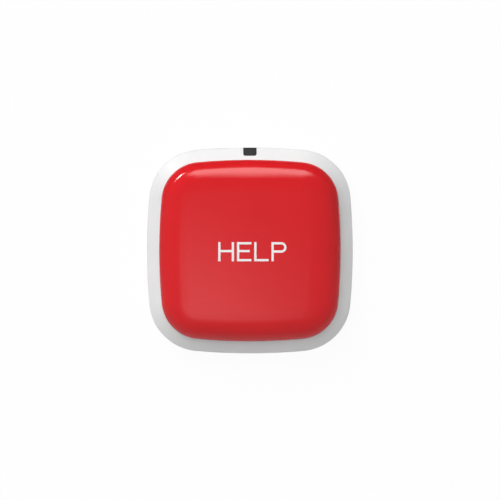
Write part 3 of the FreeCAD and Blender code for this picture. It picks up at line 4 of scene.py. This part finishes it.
import bpy
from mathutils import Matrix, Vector


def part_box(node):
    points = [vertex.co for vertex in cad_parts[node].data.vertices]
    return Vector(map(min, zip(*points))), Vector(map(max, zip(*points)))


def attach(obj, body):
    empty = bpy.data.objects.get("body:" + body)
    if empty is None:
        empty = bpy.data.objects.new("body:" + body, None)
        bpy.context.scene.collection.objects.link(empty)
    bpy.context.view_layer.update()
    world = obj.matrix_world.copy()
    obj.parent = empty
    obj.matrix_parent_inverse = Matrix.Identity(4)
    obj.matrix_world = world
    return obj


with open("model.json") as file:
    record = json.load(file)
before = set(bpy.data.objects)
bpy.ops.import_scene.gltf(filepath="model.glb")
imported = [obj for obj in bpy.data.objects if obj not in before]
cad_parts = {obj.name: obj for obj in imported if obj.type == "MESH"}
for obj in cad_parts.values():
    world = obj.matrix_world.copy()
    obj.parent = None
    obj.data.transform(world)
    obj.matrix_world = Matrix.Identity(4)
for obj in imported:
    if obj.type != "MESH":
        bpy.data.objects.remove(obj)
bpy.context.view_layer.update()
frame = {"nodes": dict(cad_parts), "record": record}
nodes = frame["nodes"]

MM = 0.001

# What the photograph's frame shows: the pendant's middle a little off the picture's middle
PICTURE_WIDTH = 500
PIXEL = 0.1941 * MM
MIDDLE_PIXEL = (249.88, 250.5)
CAMERA_DISTANCE = 2.5
SENSOR_WIDTH = 36.0

# Plan of the pendant and of the blend between the button's dome and its soft edge
CORNER_RADIUS = 10 * MM
CORNER_MIDDLE = 9.56 * MM
SIDE_RADIUS = 114 * MM
BLEND_START = 5.0 * MM
BLEND_END = 8.4 * MM
BLEND_HEIGHT = 0.19 * MM

# The button's specular level, and where it fades: 0 is a surface that faces the eye, 1 one seen edge-on
FULL_GLOSS = 0.5
GLOSS_START = 0.5
GLOSS_END = 0.84

# Studio levels, where 1 is white: even light, what polished surfaces mirror, and both from below
AMBIENT = 0.34
FLOOR_WHITE = 0.95
FAR_FLOOR = 0.0
NEAR_FLOOR = 0.4
FAR_ROOM = 0.16
NEAR_ROOM = 0.3
UNDER_AMBIENT = 0.8
UNDER_RADIANCE = 0.7

# Where the room turns from far to near along Y, and the light from below sets in along Z
ROOM_FAR_END = 0.45
ROOM_NEAR_END = -0.15
UNDER_START = -0.02
UNDER_FULL = -0.2

# The floor in metres: its half width, its place just under the pendant, and the covered part's half width
FLOOR_HALF = 3.0
FLOOR_DROP = 0.02 * MM
FOOTPRINT = 19.5 * MM

# Soft panel overhead: azimuth in degrees, lengths as tangents of the tilt from straight up
PANEL_RADIANCE = 1.08
PANEL_AZIMUTH = 233
PANEL_OFFSET = 0.22
PANEL_NEAR = 0.2
PANEL_FAR = 0.39
PANEL_ASIDE = 0.265
PANEL_LOWEST = 0.05

# Long strip: degrees to the side, degrees from straight up, and the slopes of its two long edges
STRIP_RADIANCE = 4.4
STRIP_OUTER = 37
STRIP_INNER = 14
STRIP_FOOT = 88
STRIP_LIT = 78
STRIP_TOP = 25
STRIP_FULL = 54
STRIP_TAPER = 0.85
STRIP_LIFT = 0.3


# Node helpers

def new_material(name):
    """An empty material with its principled shader, ready for nodes."""
    material = bpy.data.materials.new(name)
    material.use_nodes = True
    return material, material.node_tree.nodes["Principled BSDF"]


def add_node(material, kind, **settings):
    """A node with its sockets and properties set by name."""
    node = material.node_tree.nodes.new(kind)
    for key, setting in settings.items():
        if key in node.inputs:
            node.inputs[key].default_value = setting
        else:
            setattr(node, key, setting)
    return node


def feed(material, output, target, socket):
    material.node_tree.links.new(output, target.inputs[socket])


def link(material, source, output, target, socket):
    feed(material, source.outputs[output], target, socket)


def noise(material, scale, detail=3.0, roughness=0.5):
    """Solid noise in the part's own coordinates, scale in waves a metre."""
    place = add_node(material, "ShaderNodeTexCoord")
    texture = add_node(material, "ShaderNodeTexNoise", Scale=scale, Detail=detail, Roughness=roughness)
    link(material, place, "Object", texture, "Vector")
    return texture


def vary_colour(material, shader, texture, colour, spread):
    """Base colour that drifts a little about one colour."""
    ramp = add_node(material, "ShaderNodeValToRGB")
    dark, light = ramp.color_ramp.elements
    dark.position = 0.3
    light.position = 0.7
    dark.color = [channel * (1 - spread) for channel in colour] + [1]
    light.color = [min(1.0, channel * (1 + spread)) for channel in colour] + [1]
    link(material, texture, "Fac", ramp, "Fac")
    link(material, ramp, "Color", shader, "Base Color")


def vary_roughness(material, shader, texture, low, high):
    spread = add_node(material, "ShaderNodeMapRange", **{"To Min": low, "To Max": high})
    link(material, texture, "Fac", spread, "Value")
    link(material, spread, "Result", shader, "Roughness")


def add_bump(material, shader, texture, depth, strength=0.3):
    bump = add_node(material, "ShaderNodeBump", Strength=strength, Distance=depth)
    link(material, texture, "Fac", bump, "Height")
    link(material, bump, "Normal", shader, "Normal")


def calc(material, operation, first, second=0.0):
    """Output of a math node that is fed with numbers or earlier outputs."""
    node = add_node(material, "ShaderNodeMath", operation=operation)
    for index, source in enumerate((first, second)):
        if isinstance(source, float):
            node.inputs[index].default_value = source
        else:
            feed(material, source, node, index)
    return node.outputs["Value"]


def plastic(name, colour, roughness, grain=9000, depth=0.01 * MM, spread=0.015, strength=0.2):
    """Moulded plastic: faint mottling in colour and gloss, and a fine grain."""
    material, shader = new_material(name)
    mottle = noise(material, 120)
    vary_colour(material, shader, mottle, colour, spread)
    vary_roughness(material, shader, mottle, roughness * 0.85, roughness * 1.15)
    add_bump(material, shader, noise(material, grain, detail=2.0), depth, strength)
    return material


def metal(name, colour, roughness, stretch=(400, 400, 12000)):
    """Sheet metal with fine drawn lines."""
    material, shader = new_material(name)
    shader.inputs["Metallic"].default_value = 1.0
    place = add_node(material, "ShaderNodeTexCoord")
    scaling = add_node(material, "ShaderNodeMapping", Scale=stretch)
    link(material, place, "Object", scaling, "Vector")
    lines = add_node(material, "ShaderNodeTexNoise", Scale=1.0)
    link(material, scaling, "Vector", lines, "Vector")
    vary_colour(material, shader, lines, colour, 0.04)
    vary_roughness(material, shader, lines, roughness * 0.8, roughness * 1.25)
    add_bump(material, shader, lines, 0.004 * MM)
    return material


# Materials

WHITE = (0.83, 0.835, 0.835)
RED = (0.72, 0.0138, 0.0187)


def inset_distance(material):
    """Distance in from the pendant's outline: bowed sides joined by corner arcs."""
    place = add_node(material, "ShaderNodeTexCoord")
    split = add_node(material, "ShaderNodeSeparateXYZ")
    link(material, place, "Object", split, "Vector")
    across = calc(material, "ABSOLUTE", split.outputs["X"])
    along = calc(material, "ABSOLUTE", split.outputs["Y"])
    corner_start = CORNER_MIDDLE + CORNER_MIDDLE ** 2 / (2 * SIDE_RADIUS)
    squares = []
    for outward, aside in ((across, along), (along, across)):
        near = calc(material, "MINIMUM", aside, CORNER_MIDDLE)
        bow = calc(material, "DIVIDE", calc(material, "MULTIPLY", near, near), 2 * SIDE_RADIUS)
        past = calc(material, "SUBTRACT", calc(material, "ADD", outward, bow), corner_start)
        past = calc(material, "MAXIMUM", past, 0.0)
        squares.append(calc(material, "MULTIPLY", past, past))
    reach = calc(material, "SQRT", calc(material, "ADD", *squares))
    return calc(material, "SUBTRACT", CORNER_RADIUS, reach)


def red_button():
    """Polished red plastic: dome and soft edge blend softly, and gloss fades at grazing angles."""
    material = plastic("button_red", RED, 0.12, grain=2500, depth=0.002 * MM, spread=0.02, strength=0.05)
    shader = material.node_tree.nodes["Principled BSDF"]
    grain = material.node_tree.nodes["Bump"]
    reach = {"From Min": BLEND_START, "From Max": BLEND_END}
    blend = add_node(material, "ShaderNodeMapRange", interpolation_type="SMOOTHSTEP", **reach)
    feed(material, inset_distance(material), blend, "Value")
    bump = add_node(material, "ShaderNodeBump", Strength=1.0, Distance=BLEND_HEIGHT)
    link(material, blend, "Result", bump, "Height")
    link(material, grain, "Normal", bump, "Normal")
    link(material, bump, "Normal", shader, "Normal")
    view = add_node(material, "ShaderNodeLayerWeight", Blend=0.5)
    fading = {"From Min": GLOSS_START, "From Max": GLOSS_END, "To Min": FULL_GLOSS, "To Max": 0.0}
    gloss = add_node(material, "ShaderNodeMapRange", **fading)
    link(material, view, "Facing", gloss, "Value")
    link(material, gloss, "Result", shader, "Specular IOR Level")
    return material


def smoked_window():
    """Smoked plastic, dark and satin."""
    material, shader = new_material("window_smoke")
    mottle = noise(material, 300)
    vary_colour(material, shader, mottle, (0.019, 0.0195, 0.02), 0.08)
    vary_roughness(material, shader, mottle, 0.4, 0.5)
    shader.inputs["Specular IOR Level"].default_value = 0.25
    return material


def solder_mask():
    """Green board: glossy mask over a faint weave."""
    material, shader = new_material("board_green")
    weave = noise(material, 2200, detail=2.0)
    vary_colour(material, shader, weave, (0.012, 0.12, 0.045), 0.15)
    vary_roughness(material, shader, weave, 0.25, 0.4)
    add_bump(material, shader, weave, 0.01 * MM)
    return material


def make_materials():
    return {
        "case_white": plastic("case_white", WHITE, 0.42),
        "door_white": plastic("door_white", WHITE, 0.46, grain=7000),
        "button_red": red_button(),
        "window_smoke": smoked_window(),
        "seal_silicone": plastic("seal_silicone", (0.55, 0.55, 0.53), 0.55),
        "gasket_rubber": plastic("gasket_rubber", (0.03, 0.03, 0.03), 0.65),
        "screw_steel": metal("screw_steel", (0.5, 0.5, 0.51), 0.3),
        "cell_steel": metal("cell_steel", (0.6, 0.6, 0.6), 0.28),
        "contact_nickel": metal("contact_nickel", (0.66, 0.62, 0.55), 0.25),
        "board_green": solder_mask(),
        "switch_black": plastic("switch_black", (0.02, 0.02, 0.02), 0.4),
        "lamp_white": plastic("lamp_white", (0.8, 0.8, 0.68), 0.25),
        "shield_tin": metal("shield_tin", (0.62, 0.62, 0.61), 0.35),
        "chip_black": plastic("chip_black", (0.015, 0.015, 0.017), 0.5),
        "antenna_brass": metal("antenna_brass", (0.7, 0.5, 0.22), 0.25),
        "capacitor_tan": plastic("capacitor_tan", (0.38, 0.26, 0.14), 0.5),
        "legend_ink": plastic("legend_ink", (0.93, 0.93, 0.94), 0.4, grain=20000, depth=0.002 * MM),
    }


def dress_nodes(materials):
    """Each CAD node gets the material of the record's slot."""
    for entry in frame["record"]["subparts"]:
        node = nodes[entry["node"]]
        node.data.materials.clear()
        node.data.materials.append(materials[entry["material_slot"]])


# Printed word on the button

CAP_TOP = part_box("button_cap")[1].z
DOME_RADIUS = 180 * MM
INK = 0.03 * MM
STROKE = 0.44
LETTER_TOP = 1.62
LETTER_FOOT = -2.09
BAR_MIDDLE = -0.11


def block_h(left, right):
    """H: two posts and a bar."""
    low = BAR_MIDDLE - STROKE / 2
    high = BAR_MIDDLE + STROKE / 2
    inner_left = left + STROKE
    inner_right = right - STROKE
    return [[
        (left, LETTER_FOOT), (inner_left, LETTER_FOOT), (inner_left, low), (inner_right, low),
        (inner_right, LETTER_FOOT), (right, LETTER_FOOT), (right, LETTER_TOP), (inner_right, LETTER_TOP),
        (inner_right, high), (inner_left, high), (inner_left, LETTER_TOP), (left, LETTER_TOP),
    ]]


def block_e(left, right, bar_end):
    """E: a post and three bars."""
    low = BAR_MIDDLE - STROKE / 2
    high = BAR_MIDDLE + STROKE / 2
    inner = left + STROKE
    return [[
        (left, LETTER_FOOT), (right, LETTER_FOOT), (right, LETTER_FOOT + STROKE),
        (inner, LETTER_FOOT + STROKE), (inner, low), (bar_end, low), (bar_end, high), (inner, high),
        (inner, LETTER_TOP - STROKE), (right, LETTER_TOP - STROKE), (right, LETTER_TOP), (left, LETTER_TOP),
    ]]


def block_l(left, right):
    """L: a post and a foot."""
    inner = left + STROKE
    return [[
        (left, LETTER_FOOT), (right, LETTER_FOOT), (right, LETTER_FOOT + STROKE),
        (inner, LETTER_FOOT + STROKE), (inner, LETTER_TOP), (left, LETTER_TOP),
    ]]


def half_round(centre, radius, steps=20):
    """Points of a half circle from its top to its foot, bulging right."""
    angles = [math.pi * (0.5 - step / steps) for step in range(steps + 1)]
    return [(centre[0] + radius * math.cos(a), centre[1] + radius * math.sin(a)) for a in angles]


def block_p(left, right, bowl_foot):
    """P: a post and a bowl with a round end, and the bowl's opening."""
    radius = (LETTER_TOP - bowl_foot) / 2
    centre = (right - radius, (LETTER_TOP + bowl_foot) / 2)
    inner = left + STROKE
    outside = [(left, LETTER_FOOT), (left, LETTER_TOP)] + half_round(centre, radius)
    outside += [(inner, bowl_foot), (inner, LETTER_FOOT)]
    opening = [(inner, LETTER_TOP - STROKE)] + half_round(centre, radius - STROKE)
    opening += [(inner, bowl_foot + STROKE)]
    return [outside, opening]


def printed_letter(name, outlines, material):
    """A letter as a thin layer of ink that follows the button's dome."""
    curve = bpy.data.curves.new(name, "CURVE")
    curve.dimensions = "2D"
    curve.fill_mode = "BOTH"
    curve.extrude = INK
    for outline in outlines:
        spline = curve.splines.new("POLY")
        spline.points.add(len(outline) - 1)
        for point, (x, y) in zip(spline.points, outline):
            point.co = (x * MM, y * MM, 0, 1)
        spline.use_cyclic_u = True
    carrier = bpy.data.objects.new(f"{name}_curve", curve)
    bpy.context.scene.collection.objects.link(carrier)
    bpy.context.view_layer.update()
    mesh = bpy.data.meshes.new_from_object(carrier)
    mesh.name = name
    bpy.data.objects.remove(carrier)
    for vertex in mesh.vertices:
        reach = vertex.co.x ** 2 + vertex.co.y ** 2
        vertex.co.z += CAP_TOP - reach / (2 * DOME_RADIUS)
    mesh.materials.clear()
    mesh.materials.append(material)
    letter = bpy.data.objects.new(name, mesh)
    bpy.context.scene.collection.objects.link(letter)
    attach(letter, "button")


def print_word(material):
    """HELP in thin block letters, a little right of the middle as printed, millimetres."""
    printed_letter("legend_first", block_h(-6.14, -3.07), material)
    printed_letter("legend_second", block_e(-2.50, 0.29, -0.04), material)
    printed_letter("legend_third", block_l(0.84, 3.63), material)
    printed_letter("legend_fourth", block_p(4.18, 7.09, -0.42), material)


# Studio: floor, light and camera

def floor_opening(material, place, seen):
    """1 where rays pass the floor: from below, and under the pendant but for the camera's."""
    split = add_node(material, "ShaderNodeSeparateXYZ")
    link(material, place, "Object", split, "Vector")
    fourths = []
    for axis in "XY":
        square = calc(material, "MULTIPLY", split.outputs[axis], split.outputs[axis])
        fourths.append(calc(material, "MULTIPLY", square, square))
    covered = calc(material, "LESS_THAN", calc(material, "ADD", *fourths), FOOTPRINT ** 4)
    unseen = calc(material, "SUBTRACT", 1.0, seen.outputs["Is Camera Ray"])
    under = calc(material, "MULTIPLY", covered, unseen)
    geometry = add_node(material, "ShaderNodeNewGeometry")
    return calc(material, "MAXIMUM", under, geometry.outputs["Backfacing"])


def mirrored_floor(material, place):
    """What polished surfaces mirror of the floor: grey, and darker towards the indicator's side."""
    heading = add_node(material, "ShaderNodeVectorMath", operation="NORMALIZE")
    split = add_node(material, "ShaderNodeSeparateXYZ")
    grading = {"From Min": -1, "From Max": 1, "To Min": NEAR_FLOOR, "To Max": FAR_FLOOR}
    level = add_node(material, "ShaderNodeMapRange", **grading)
    mirrored = add_node(material, "ShaderNodeEmission")
    link(material, place, "Object", heading, "Vector")
    link(material, heading, "Vector", split, "Vector")
    link(material, split, "Y", level, "Value")
    link(material, level, "Result", mirrored, "Strength")
    return mirrored


def floor_material():
    """Plain white to the camera but for the pendant's faint shadow."""
    material, shader = new_material("floor")
    shader.inputs["Base Color"].default_value = (0.95, 0.95, 0.95, 1)
    shader.inputs["Roughness"].default_value = 0.9
    shader.inputs["Specular IOR Level"].default_value = 0.0
    place = add_node(material, "ShaderNodeTexCoord")
    seen = add_node(material, "ShaderNodeLightPath")
    white = add_node(material, "ShaderNodeEmission", Strength=1.0)
    glow = add_node(material, "ShaderNodeMixShader")
    share = calc(material, "MULTIPLY", seen.outputs["Is Camera Ray"], FLOOR_WHITE)
    feed(material, share, glow, "Fac")
    link(material, shader, "BSDF", glow, 1)
    link(material, white, "Emission", glow, 2)
    solid = add_node(material, "ShaderNodeMixShader")
    link(material, seen, "Is Glossy Ray", solid, "Fac")
    link(material, glow, "Shader", solid, 1)
    link(material, mirrored_floor(material, place), "Emission", solid, 2)
    clear = add_node(material, "ShaderNodeBsdfTransparent")
    surface = add_node(material, "ShaderNodeMixShader")
    feed(material, floor_opening(material, place, seen), surface, "Fac")
    link(material, solid, "Shader", surface, 1)
    link(material, clear, "BSDF", surface, 2)
    link(material, surface, "Shader", material.node_tree.nodes["Material Output"], "Surface")
    return material


def make_floor():
    """A wide floor just under the pendant's back."""
    mesh = bpy.data.meshes.new("floor")
    corners = [(x * FLOOR_HALF, y * FLOOR_HALF, 0) for x, y in ((-1, -1), (1, -1), (1, 1), (-1, 1))]
    mesh.from_pydata(corners, [], [(0, 1, 2, 3)])
    mesh.materials.append(floor_material())
    floor = bpy.data.objects.new("floor", mesh)
    floor.location.z = -FLOOR_DROP
    bpy.context.scene.collection.objects.link(floor)


def direction(azimuth, tilt):
    """Unit vector: azimuth from +X towards +Y, tilt from straight up, in degrees."""
    around = math.radians(azimuth)
    lean = math.radians(tilt)
    return Vector((math.sin(lean) * math.cos(around), math.sin(lean) * math.sin(around), math.cos(lean)))


class World:
    """The surroundings: even light for matt surfaces, a soft studio for polished ones."""

    def __init__(self):
        world = bpy.data.worlds.new("studio")
        bpy.context.scene.world = world
        world.use_nodes = True
        self.tree = world.node_tree
        place = self.tree.nodes.new("ShaderNodeTexCoord")
        self.heading = place.outputs["Generated"]
        split = self.tree.nodes.new("ShaderNodeSeparateXYZ")
        self.join(split, {"Vector": self.heading})
        self.x, self.y, self.z = split.outputs

    def join(self, node, inputs):
        for key, source in inputs.items():
            if isinstance(source, (int, float, tuple)):
                node.inputs[key].default_value = source
            else:
                self.tree.links.new(source, node.inputs[key])

    def math(self, operation, first, second=0.0):
        node = self.tree.nodes.new("ShaderNodeMath")
        node.operation = operation
        self.join(node, {0: first, 1: second})
        return node.outputs["Value"]

    def ramp(self, source, start, end, kind="LINEAR"):
        """0 at start and 1 at end, held beyond both."""
        node = self.tree.nodes.new("ShaderNodeMapRange")
        node.interpolation_type = kind
        self.join(node, {"Value": source, "From Min": start, "From Max": end})
        return node.outputs["Result"]

    def cosine_to(self, aim):
        node = self.tree.nodes.new("ShaderNodeVectorMath")
        node.operation = "DOT_PRODUCT"
        self.join(node, {0: self.heading, 1: tuple(aim)})
        return node.outputs["Value"]

    def background(self, strength):
        node = self.tree.nodes.new("ShaderNodeBackground")
        self.join(node, {"Color": (1, 1, 1, 1), "Strength": strength})
        return node.outputs["Background"]

    def mix(self, share, first, second):
        node = self.tree.nodes.new("ShaderNodeMixShader")
        self.join(node, {"Fac": share, 1: first, 2: second})
        return node.outputs["Shader"]


def soft_panel(world):
    """A soft panel overhead, a little to the lower left, with a long fade away from the middle."""
    above = world.math("MAXIMUM", world.z, PANEL_LOWEST)
    outward = world.math("DIVIDE", world.cosine_to(direction(PANEL_AZIMUTH, 90)), above)
    aside = world.math("DIVIDE", world.cosine_to(direction(PANEL_AZIMUTH + 90, 90)), above)
    offset = world.math("SUBTRACT", outward, PANEL_OFFSET)
    fade = 0.0
    for length, reach in (
        (world.math("MINIMUM", offset, 0.0), PANEL_NEAR),
        (world.math("MAXIMUM", offset, 0.0), PANEL_FAR),
        (aside, PANEL_ASIDE),
    ):
        scaled = world.math("DIVIDE", length, reach)
        fade = world.math("ADD", world.math("MULTIPLY", scaled, scaled), fade)
    glow = world.math("EXPONENT", world.math("MULTIPLY", fade, -1.0))
    lit = world.math("MULTIPLY", glow, world.ramp(world.z, 0.0, PANEL_LOWEST))
    return world.math("MULTIPLY", lit, PANEL_RADIANCE)


def long_strip(world):
    """A strip behind the indicator's side that narrows and fades upwards."""
    aside = world.math("ABSOLUTE", world.math("ARCTAN2", world.x, world.y))
    tilt = world.math("ARCCOSINE", world.z)
    upper = world.math("SUBTRACT", tilt, world.math("MULTIPLY", aside, STRIP_TAPER))
    lower = world.math("ADD", tilt, world.math("MULTIPLY", aside, STRIP_LIFT))
    beside = world.ramp(aside, math.radians(STRIP_OUTER), math.radians(STRIP_INNER), "SMOOTHSTEP")
    above = world.ramp(upper, math.radians(STRIP_TOP), math.radians(STRIP_FULL), "SMOOTHSTEP")
    below = world.ramp(lower, math.radians(STRIP_FOOT), math.radians(STRIP_LIT))
    shape = world.math("MULTIPLY", world.math("MULTIPLY", above, below), beside)
    return world.math("MULTIPLY", shape, STRIP_RADIANCE)


def make_world():
    """Plain white for the camera; polished surfaces mirror the panel, the strip and a dim room."""
    world = World()
    below = world.ramp(world.z, UNDER_START, UNDER_FULL)
    under = world.math("MULTIPLY", below, UNDER_RADIANCE)
    even = world.math("ADD", world.math("MULTIPLY", below, UNDER_AMBIENT - AMBIENT), AMBIENT)
    towards = world.ramp(world.y, ROOM_FAR_END, ROOM_NEAR_END)
    nearer = world.math("MULTIPLY", towards, NEAR_ROOM - FAR_ROOM)
    room = world.math("ADD", under, world.math("ADD", nearer, FAR_ROOM))
    lamps = world.math("ADD", soft_panel(world), long_strip(world))
    mirrored = world.background(world.math("ADD", room, lamps))
    seen = world.tree.nodes.new("ShaderNodeLightPath")
    surroundings = world.mix(seen.outputs["Is Glossy Ray"], world.background(even), mirrored)
    whole = world.mix(seen.outputs["Is Camera Ray"], surroundings, world.background(1.0))
    world.join(world.tree.nodes["World Output"], {"Surface": whole})


def area_lamp(name, azimuth, tilt, radiance, distance, size):
    """A lamp that faces the pendant; radiance 1 looks white in a mirror."""
    lamp = bpy.data.lights.new(name, "AREA")
    lamp.size, lamp.size_y = size
    lamp.energy = radiance * math.pi * lamp.size * lamp.size_y
    holder = bpy.data.objects.new(name, lamp)
    bpy.context.scene.collection.objects.link(holder)
    aim = direction(azimuth, tilt)
    holder.location = aim * distance
    holder.rotation_euler = aim.to_track_quat("Z", "Y").to_euler()
    holder.visible_camera = False
    return holder


def soft_lamp(name, azimuth, tilt, radiance):
    """A large lamp that lights matt surfaces and isn't mirrored."""
    holder = area_lamp(name, azimuth, tilt, radiance, distance=1.0, size=(0.7, 0.7))
    holder.data.shape = "RECTANGLE"
    holder.visible_glossy = False
    holder.data.cycles.use_multiple_importance_sampling = False


def mirrored_lamp(name, azimuth, tilt, radiance, distance, size):
    """A small lamp that is only seen in polished surfaces."""
    holder = area_lamp(name, azimuth, tilt, radiance, distance, size)
    holder.data.shape = "ELLIPSE"
    holder.visible_diffuse = False


def light_studio():
    make_world()
    soft_lamp("high_key", azimuth=120, tilt=25, radiance=3.35)
    soft_lamp("low_key", azimuth=124, tilt=62, radiance=2.15)
    soft_lamp("fill", azimuth=312, tilt=78, radiance=0.34)
    mirrored_lamp("glint", 131, 85.6, radiance=16.5, distance=0.15, size=(0.024, 0.012))
    mirrored_lamp("glint_halo", 131, 85.3, radiance=7.8, distance=0.149, size=(0.054, 0.015))


def make_camera():
    """Straight down on the button, the indicator at the top of the picture."""
    camera = bpy.data.cameras.new("camera")
    camera.sensor_width = SENSOR_WIDTH
    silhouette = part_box("front_case")[1].z
    camera.lens = SENSOR_WIDTH * CAMERA_DISTANCE / (PICTURE_WIDTH * PIXEL)
    camera.clip_start = 0.01
    camera.clip_end = 10
    holder = bpy.data.objects.new("camera", camera)
    bpy.context.scene.collection.objects.link(holder)
    aside = (PICTURE_WIDTH / 2 - MIDDLE_PIXEL[0]) * PIXEL
    above = (MIDDLE_PIXEL[1] - PICTURE_WIDTH / 2) * PIXEL
    holder.location = (aside, above, silhouette + CAMERA_DISTANCE)
    bpy.context.scene.camera = holder


bpy.context.scene.view_settings.view_transform = "Standard"
materials = make_materials()
dress_nodes(materials)
print_word(materials["legend_ink"])
make_floor()
light_studio()
make_camera()
